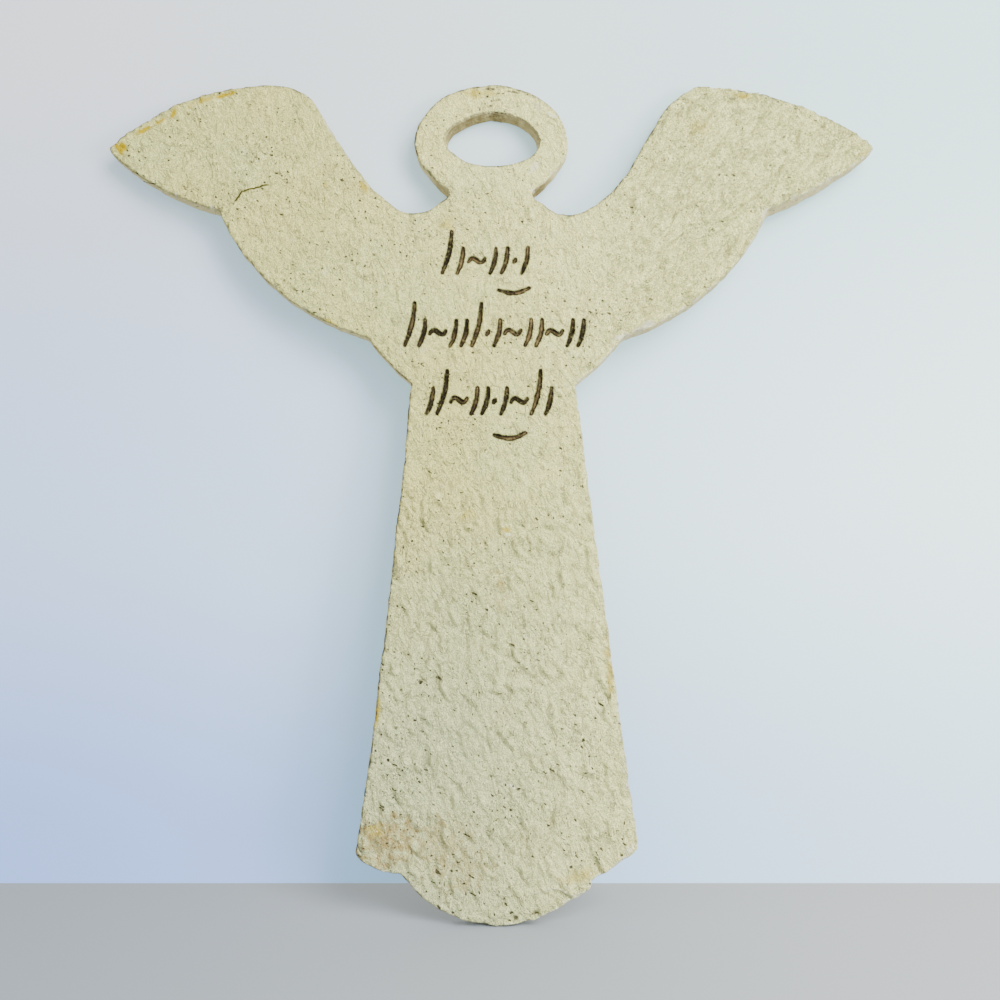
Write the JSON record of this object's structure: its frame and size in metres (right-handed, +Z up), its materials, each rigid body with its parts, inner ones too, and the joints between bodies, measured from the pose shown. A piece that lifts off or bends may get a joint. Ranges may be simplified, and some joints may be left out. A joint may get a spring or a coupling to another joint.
{
  "type": "angel wall plaque",
  "caption": "Flat cast-stone wall plaque in the outline of an angel with spread wings, a ring halo and a scalloped hem, with rows of shallow strokes on the chest.",
  "frame": {"origin": "on the flat back, on the plaque's own axis at mid chest, 205 mm above the lowest point of the hem", "axes": "+Z runs up the plaque from the hem to the halo, +Y points out of the flat back into the wall, the front faces -Y, and +X is the right side as seen from the front"},
  "size_m": [0.2812, 0.0055, 0.2984],
  "materials": {
    "cast_stone": "matte"
  },
  "bodies": {
    "root": {"angel_plaque": "cast_stone"}
  },
  "joints": []
}
